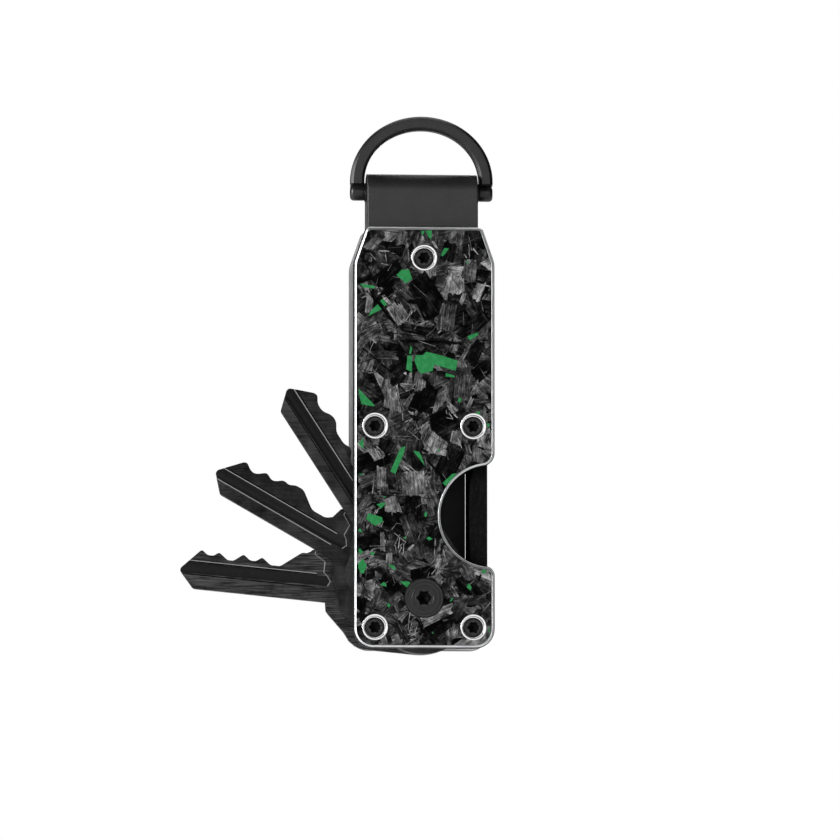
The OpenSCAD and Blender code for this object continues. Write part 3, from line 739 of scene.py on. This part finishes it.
def make_screws(name, side):
    bm = bmesh.new()
    top = -CASE_Y + 0.2
    for place in SCREWS:
        foot = -LINER_Y if place[0] else -1.55
        turned(bm, place, [
            (0.02, top + 1.0), (0.7, top + 0.62), (0.9, top + 0.6, 0.15), (0.96, top + 0.24, 0.15),
            (1.14, top + 0.03, 0.13), (1.2, top + 0.02, 0.1), (1.36, top), (1.56, top + 0.02),
            (1.6, top + 0.1), (1.66, top + 0.1), (1.72, top + 0.05), (1.86, top + 0.1),
            (2.0, top + 0.3), (2.05, top + 1.02), (1.97, top + 1.1), (1, top + 1.1),
            (1, foot - 0.2), (0.8, foot)], side, 72)
    mesh = bm_to_mesh(bm, name)
    finish_piece(name, mesh, "case", "black_screw", [name], SCREW, SHADOW_BLACK)
    mark_sockets(mesh, SCREWS, 1.0)
    smooth(mesh, 35)


def make_pivot(name, side, shaft):
    """The wide flat head with its turning marks, a star socket and its shaft."""
    bm = bmesh.new()
    face = -CASE_Y
    rng = random.Random(31)
    rings = [(0.02, face + 1.2), (0.9, face + 0.72), (1.14, face + 0.7, 0.21),
             (1.2, face + 0.24, 0.21), (1.4, face + 0.03, 0.15), (1.46, face + 0.01, 0.12), (1.76, face)]
    radius = 1.8
    while radius < 3.72:
        rings.append((radius, face + rng.choice((0, 0.01, 0.02, 0.03))))
        radius += rng.uniform(0.05, 0.11)
    rings += [(3.78, face), (3.9, face + 0.03), (4.0, face + 0.12), (4.05, face + 0.24),
              (4.05, face + 1.33)]
    turned(bm, (0, PIVOT_H), rings + shaft, side, 96, (True, False))
    mesh = bm_to_mesh(bm, name)
    finish_piece(name, mesh, "case", "black_screw", [name], PIVOT, SHADOW_BLACK)
    mark_sockets(mesh, [(0, PIVOT_H)], 1.28)
    smooth(mesh, 12)


make_cups("front_cups", 1)
make_cups("back_cups", -1)
make_screws("front_screws", 1)
make_screws("back_screws", -1)
make_pivot("pivot_bolt", 1, [
    (1.5, -CASE_Y + 1.35), (1.5, LINER_Y - 0.3), (1.3, LINER_Y), (0.05, LINER_Y)])
make_pivot("pivot_barrel", -1, [
    (2.5, -CASE_Y + 1.38), (2.5, CASE_Y - 1.5), (2.4, CASE_Y - 1.4), (1.6, CASE_Y - 1.4),
    (1.55, CASE_Y - 1.5), (1.55, -LINER_Y), (0.05, -LINER_Y)])


# ---- D-ring -------------------------------------------------------------------------
RING_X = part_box("d_ring")[1].x / MM
RING_TOP = (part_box("d_ring")[1].z - BASE_Z) / MM
RING_BAND, RING_T, RING_BEVEL = 2.85, 3, 0.6
SPRING_H = PIN_H + 2.2


def make_ring():
    bm = bmesh.new()
    rise = RING_TOP - SPRING_H
    half_t, b = RING_T / 2, RING_BEVEL
    # The band's section: how far in from its outer edge, and depth
    section = [(b, -half_t), (RING_BAND - b, -half_t), (RING_BAND, -half_t + b), (RING_BAND, half_t - b),
               (RING_BAND - b, half_t), (b, half_t), (0, half_t - b), (0, -half_t + b)]
    # Each arm steps back just above its round end
    stations = [(1, 0, PIN_H - SPRING_H, 0.2), (1, 0, -0.47, 0.2), (1, 0, -0.45, 1)]
    turns = [math.pi * i / 72 for i in range(73)]
    stations += [(math.cos(t), math.sin(t), 0, 1) for t in turns]
    stations += [(-1, 0, -0.45, 1), (-1, 0, -0.47, 0.2), (-1, 0, PIN_H - SPRING_H, 0.2)]
    rings = []
    for cx, sz, drop, deep in stations:
        rings.append([at((RING_X - s) * cx, y * deep, SPRING_H + (rise - s) * sz + drop)
                      for s, y in section])
    loft(bm, rings)
    mesh = bm_to_mesh(bm, "ring_bow")
    piece = finish_piece("d_ring", mesh, "ring", "ring_black", ["d_ring"], RING)
    bevel(piece, 0.14, 3, 25, shade=40)
    for s in (-1, 1):
        ends = bmesh.new()
        inner, outer, r = RING_X - 2.85, RING_X, 1.7
        profile = [(0.02, inner), (r - 0.24, inner), (r - 0.07, inner + 0.07), (r, inner + 0.24),
                   (r, outer - 0.75), (r - 0.05, outer - 0.46), (r - 0.17, outer - 0.24),
                   (r - 0.36, outer - 0.08), (r - 0.6, outer), (0.02, outer)]
        rings = []
        for radius, x in profile:
            turns = [2 * math.pi * i / 64 for i in range(64)]
            rings.append([at(s * x, radius * math.sin(t), PIN_H + radius * math.cos(t)) for t in turns])
        loft(ends, rings)
        end = finish_piece("ring_end_" + ("left" if s < 0 else "right"), bm_to_mesh(ends, "ring_end"),
                           "ring", "ring_black", ["d_ring"], RING)
        smooth(end.data, 35)


make_ring()


# ---- strap --------------------------------------------------------------------------
STRAP_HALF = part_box("strap")[1].x / MM
STRAP_LOW = (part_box("strap")[0].z - BASE_Z) / MM
LOOP_R, LOOP_SWELL = 1.25, 0.2
LOOP_OUT = (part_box("strap")[1].z - BASE_Z) / MM - PIN_H + LOOP_SWELL


def make_strap():
    """A folded band of leather: one side view carried across, tucked in at both edges."""
    outer_y, inner_y = LINER_Y, LINER_Y - (LOOP_OUT - LOOP_SWELL - LOOP_R)
    side_view = [(-outer_y, STRAP_LOW), (-inner_y, STRAP_LOW), (-inner_y, CASE_H - 3),
                 (-inner_y, CASE_H - 0.4), (-LOOP_R, PIN_H - 1.2)]
    side_view += [(LOOP_R * math.cos(t), PIN_H + LOOP_R * math.sin(t))
                  for t in (math.pi * (1 - i / 20) for i in range(21))]
    side_view += [(LOOP_R, PIN_H - 1.2), (inner_y, CASE_H - 0.4), (inner_y, CASE_H - 3),
                  (inner_y, STRAP_LOW), (outer_y, STRAP_LOW), (outer_y, CASE_H - 3),
                  (outer_y, CASE_H - 0.5)]
    side_view += [(LOOP_OUT + 0.1, CASE_H + 3.4), (LOOP_OUT + 0.02, PIN_H - 1.4)]
    side_view += [(LOOP_OUT * math.cos(t), PIN_H + LOOP_OUT * math.sin(t))
                  for t in (math.pi * i / 32 for i in range(33))]
    side_view += [(-LOOP_OUT - 0.02, PIN_H - 1.4), (-LOOP_OUT - 0.1, CASE_H + 3.4),
                  (-outer_y, CASE_H - 0.5), (-outer_y, CASE_H - 3)]
    bm = bmesh.new()
    columns = [(-STRAP_HALF, 0.2), (-STRAP_HALF + 0.03, 0.09), (-STRAP_HALF + 0.09, 0.03),
               (-STRAP_HALF + 0.18, 0.0)]
    columns += [(x * 1.1, 0.0) for x in range(-10, 11)]
    columns += [(-x, d) for x, d in reversed(columns[:4])]
    rings = [[at(x, y, h) for y, h in inset(side_view, d)] for x, d in columns]
    loft(bm, rings)
    mesh = bm_to_mesh(bm, "strap")
    piece = finish_piece("strap", mesh, "case", "leather", ["strap"], LEATHER)
    cutter = bmesh.new()
    turned(cutter, (0, TOP_H), [(POST_R, -6), (POST_R, 6)])
    subtract(piece, cutter)
    smooth(piece.data, 40)


make_strap()


# ---- side band ----------------------------------------------------------------------
BAND_LOW = (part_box("side_band")[0].z - BASE_Z) / MM
BAND_TOP = (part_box("side_band")[1].z - BASE_Z) / MM
BAND_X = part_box("side_band")[1].x / MM
BAND_Y = -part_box("side_band")[0].y / MM
LEG_Y = LINER_Y + 0.05


def make_band():
    """A woven channel whose front leg has a soft, slightly uneven edge."""
    bm = bmesh.new()
    # Height, and how far the front leg reaches in from the outer face
    edges = [(BAND_LOW, 3.6), (15, 3.55), (20, 3.5), (24, 3.55), (28, 3.62), (31, 3.6), (33.5, 3.5),
             (35, 3.3), (36.4, 2.9), (38, 2.6), (42, 2.55), (50, 2.6), (58, 2.6), (BAND_TOP, 2.6)]
    x1, web, back_reach = BAND_X, 0.85, 3.6
    rings = []
    for h, reach in edges:
        rings.append([at(x, y, h) for x, y in [
            (x1 - 0.1, -BAND_Y), (x1 - reach + 0.08, -BAND_Y), (x1 - reach, -BAND_Y + 0.1),
            (x1 - reach, -LEG_Y - 0.1), (x1 - reach + 0.08, -LEG_Y), (x1 - web - 0.08, -LEG_Y),
            (x1 - web, -LEG_Y + 0.1), (x1 - web, LEG_Y - 0.1), (x1 - web - 0.08, LEG_Y),
            (x1 - back_reach + 0.08, LEG_Y), (x1 - back_reach, LEG_Y + 0.1),
            (x1 - back_reach, BAND_Y - 0.1), (x1 - back_reach + 0.08, BAND_Y),
            (x1 - 0.1, BAND_Y), (x1, BAND_Y - 0.12), (x1, -BAND_Y + 0.12)]])
    loft(bm, rings)
    mesh = bm_to_mesh(bm, "side_band")
    piece = finish_piece("side_band", mesh, "case", "band", ["side_band"], BAND)
    cutters = bmesh.new()
    for h in (LOW_H, MID_H):
        turned(cutters, (SIDE_X, h), [(POST_R, -BAND_Y - 1), (POST_R, BAND_Y + 1)])
    subtract(piece, cutters)
    smooth(piece.data, 35)


make_band()


# ---- keys ---------------------------------------------------------------------------
# Each form: back edge, crest, tip, lower edge of the channel, direction from the pivot,
# softness of the cuts' corners, its black's base, shine, cutter marks and their lean,
# lines along the blade (from, to, depth, material), where bright strips are painted highlight
# and black strips are painted shadow, and cuts (place, floor, half flat)
KEYS = {
    "upper": dict(back=-3.6, crest=4.75, tip=50.9, channel=-1.35, angle=122.9, soft=0.7,
                  base=0.008, shine=0.42, marks=0.9, grain=1.2,
                  lines=[(-1.6, -1.38, 0.2, 3), (1.2, 1.42, 0.2, 3), (0.96, 1.16, 0.03, 1)],
                  cuts=[(44, 3.5, 1), (36.5, 3.6, 1.6), (30.5, 2.6, 0.7), (26.2, 3.6, 0.7)]),
    "middle": dict(back=-2, crest=7.3, tip=49.4, channel=0.55, angle=150.2, soft=0.6,
                   base=0.007, shine=0.28, marks=0.5, grain=0.2,
                   lines=[(0.33, 0.51, 0.02, 1), (3.1, 3.32, 0.25, 3), (2.89, 3.07, 0.02, 1)],
                   cuts=[(42.5, 5.2, 0.6), (38.4, 5.8, 0.5), (35.2, 6.7, 0.5), (26.8, 4.6, 1.6)]),
    "lower": dict(back=-2.5, crest=7.1, tip=49.6, channel=0.55, angle=174.3, soft=0.25,
                  base=0.012, shine=0.42, marks=4, grain=0.0,
                  lines=[(0.28, 0.5, 0.2, 3), (2.89, 3.1, 0.25, 3), (3.13, 3.29, 0.02, 1)],
                  cuts=[(43.5, 4.6, 0.6), (39.4, 4, 0.6), (34.8, 4.4, 0.6), (30.2, 3.9, 1)]),
}
TIP_RISE, TIP_RUN, FLANK = 3.7, 3.3, 1.3
BOW_R, SHOULDER_U, KEY_T = 11.2, 19.3, 2.1
CHANNEL_W, CHANNEL_DEEP, MILL_DEEP = 2.3, 0.5, 0.14


def end_wall(low):
    """Where the channel ends at the bow."""
    return [(SHOULDER_U + 0.1, low + 0.3), (SHOULDER_U - 0.4, low + CHANNEL_W * 0.55),
            (SHOULDER_U + 0.3, low + CHANNEL_W)]


def step_wall(k):
    """Where the milled side of the blade ends at the bow."""
    return [(22.6, k["crest"] + 3), (22.5, 7.0), (20.4, 5.7), (20.4, 3.5),
            (19.6, k["channel"] + CHANNEL_W - 0.01)]


def key_outline(k):
    """The key's outline in its own (u, v), anticlockwise from the blade's back shoulder."""
    back, crest, tip = k["back"], k["crest"], k["tip"]
    nose = back + TIP_RISE

    def height(u):
        low = min(crest, nose + (tip - u) / 0.95)
        for place, floor, flat in k["cuts"]:
            low = min(low, floor + max(0, abs(u - place) - flat) / FLANK)
        return low

    end = SHOULDER_U + 4.6
    step, reach = 0.15, max(1, round(k["soft"] / 0.15))
    count = int((tip - end) / step)
    top = []
    for i in range(1, count):
        u = tip - i * step
        spread = min(reach, i, count - i)
        span = [height(u + j * step) for j in range(-spread, spread + 1)]
        top.append((u, sum(span) / len(span)))
    points = fillet([(SHOULDER_U, back, 0), (tip - TIP_RUN, back, 0.9), (tip, nose, 0.8),
                     (*top[6], 0)], 6)[:-1]
    points += top[6:]
    points += [(SHOULDER_U + 4.1, crest + 0.35), (SHOULDER_U + 3.7, crest + 0.75)]
    points += fillet([(SHOULDER_U + 3.7, crest + 0.75, 0), (BOW_R + 1, BOW_R, 0.8),
                      (0, BOW_R, 0)], 5)[1:-1]
    points += arc(0, 0, BOW_R, 90, 270, 40)
    return points + [(10.4, -BOW_R), (11.4, -BOW_R + 0.1), (12.4, -BOW_R + 0.5), (13.7, -BOW_R + 1.4),
                     (14.2, -BOW_R + 2.1), (15, -BOW_R + 3.1), (18.4, -4.9), (19, -4.2)]


def make_key(name, depth_y):
    """One key, cut in its own (u, v) frame and turned to its place on the pivot."""
    k = KEYS[name]
    turn = math.radians(k["angle"])

    def place(u, v, y):
        # V points to the cut side, clockwise from U as seen from the front
        x = u * math.cos(turn) + v * math.sin(turn)
        h = u * math.sin(turn) - v * math.cos(turn)
        return at(x, depth_y + y, PIVOT_H + h)

    def prism(outline, y0, y1):
        bm = bmesh.new()
        loft(bm, [[place(u, v, y) for u, v in outline] for y in (y0, y1)])
        return bm

    mesh = bm_to_mesh(prism(key_outline(k), -KEY_T / 2, KEY_T / 2), name + "_key")
    material = milled_black(name + "_key_black", k["grain"] - turn, k["base"], k["shine"], k["marks"])
    piece = finish_piece(name + "_key", mesh, name, "black_key", [name + "_key"],
                         material, EDGE_HIGHLIGHT, GROOVE_SHADE, SHADOW_BLACK)
    low, high = k["channel"], k["channel"] + CHANNEL_W
    for s in (-1, 1):
        face = s * KEY_T / 2
        # The channel takes the darker, duller black: painted shade in the recess
        channel = [(k["tip"] + 3, low), (k["tip"] + 3, high)] + end_wall(low)[::-1]
        subtract(piece, prism(channel, face - s * CHANNEL_DEEP, face + s), 2)
        milled = [(k["tip"] + 3, high - 0.01), (k["tip"] + 3, k["crest"] + 3)] + step_wall(k)
        subtract(piece, prism(milled, face - s * MILL_DEEP, face + s))
    bore = bmesh.new()
    loft(bore, [[at(SLEEVE_R * math.cos(t), depth_y + y, PIVOT_H + SLEEVE_R * math.sin(t))
                 for t in (2 * math.pi * i / 48 for i in range(48))] for y in (-2, 2)])
    subtract(piece, bore)
    bevel(piece, 0.07, 2, 35, shade=30)
    # Painted highlights (lighter steel strips) and painted shadows (black strips) along the channel and
    # the milled step, and painted highlights at the cutter's corners
    for s in (-1, 1):
        face = s * KEY_T / 2
        for v0, v1, deep, index in k["lines"]:
            top = face if v1 <= low else face - s * MILL_DEEP
            strip = [(21.6, v0), (k["tip"] + 3, v0), (k["tip"] + 3, v1), (21.6, v1)]
            subtract(piece, prism(strip, top - s * deep, top + s), index)
        for wall in (end_wall(low), step_wall(k)):
            strip = [(u - 0.08, v) for u, v in wall] + [(u - 0.26, v) for u, v in wall[::-1]]
            subtract(piece, prism(strip, face - s * 0.02, face + s), 1)
    smooth(piece.data, 30)


for key_name in KEYS:
    low_corner, high_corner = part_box(key_name + "_key")
    make_key(key_name, (low_corner.y + high_corner.y) / 2 / MM)


# ---- carried-over CAD nodes ---------------------------------------------------------
for node_name, material in {
        "ring_pin": STEEL, "ring_bushes": BUSH, "strap_spacer": LINER, "top_post": STEEL,
        "front_inserts": BRASS, "back_inserts": BRASS, "front_liner": LINER, "back_liner": LINER,
        "pivot_washers": STEEL}.items():
    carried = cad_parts[node_name]
    carried.data.materials.clear()
    carried.data.materials.append(material)


# ---- studio -------------------------------------------------------------------------
def area_light(name, place, aim, width, height, power):
    lamp = bpy.data.objects.new(name, bpy.data.lights.new(name, "AREA"))
    lamp.data.shape = "RECTANGLE"
    lamp.data.size, lamp.data.size_y, lamp.data.energy = width, height, power
    lamp.location = Vector(place)
    lamp.rotation_mode = "QUATERNION"
    lamp.rotation_quaternion = (Vector(aim) - Vector(place)).to_track_quat("-Z", "Y")
    bpy.context.scene.collection.objects.link(lamp)


def make_studio():
    centre = at(0, 0, CASE_H / 2)
    area_light("front_box", (0.11, -1.2, 0.13), centre, 0.85, 0.75, 2.0)
    area_light("key_light", (-0.95, -0.66, 0.2), centre, 0.5, 0.7, 12.5)
    area_light("left_strip", (-0.98, -0.12, -0.02), centre, 0.3, 1.0, 7)
    area_light("crown_light", (0.0, 0.3, 0.95), centre, 0.9, 0.25, 3)
    area_light("back_light", (0.5, 1.0, 0.35), centre, 0.8, 0.8, 9)
    world = bpy.data.worlds.new("studio")
    world.use_nodes = True
    nodes, links = world.node_tree.nodes, world.node_tree.links
    backdrop = nodes["Background"]
    backdrop.inputs["Color"].default_value = (1, 1, 1, 1)
    backdrop.inputs["Strength"].default_value = 1.0
    soft = nodes.new("ShaderNodeBackground")
    soft.inputs["Color"].default_value = (1, 1, 1, 1)
    soft.inputs["Strength"].default_value = 0.02
    path = nodes.new("ShaderNodeLightPath")
    mix = nodes.new("ShaderNodeMixShader")
    links.new(path.outputs["Is Camera Ray"], mix.inputs[0])
    links.new(soft.outputs[0], mix.inputs[1])
    links.new(backdrop.outputs[0], mix.inputs[2])
    links.new(mix.outputs[0], nodes["World Output"].inputs[0])
    bpy.context.scene.world = world
    bpy.context.scene.view_settings.view_transform = "Standard"

    bm = bmesh.new()
    bmesh.ops.create_circle(bm, cap_ends=True, radius=1.4, segments=40)
    floor = bpy.data.objects.new("floor", bm_to_mesh(bm, "floor"))
    floor.location = (0, 0, BASE_Z - 0.16)
    bpy.context.scene.collection.objects.link(floor)
    pale = Finish("pale_floor", Roughness=0.7)
    broad = pale.noise(pale.millimetres((40, 40, 40)), 1, 2)
    pale.set("Base Color", pale.ramp(broad, (0.3, 0.86), (0.7, 0.9)))
    floor.data.materials.append(pale.material)


make_studio()
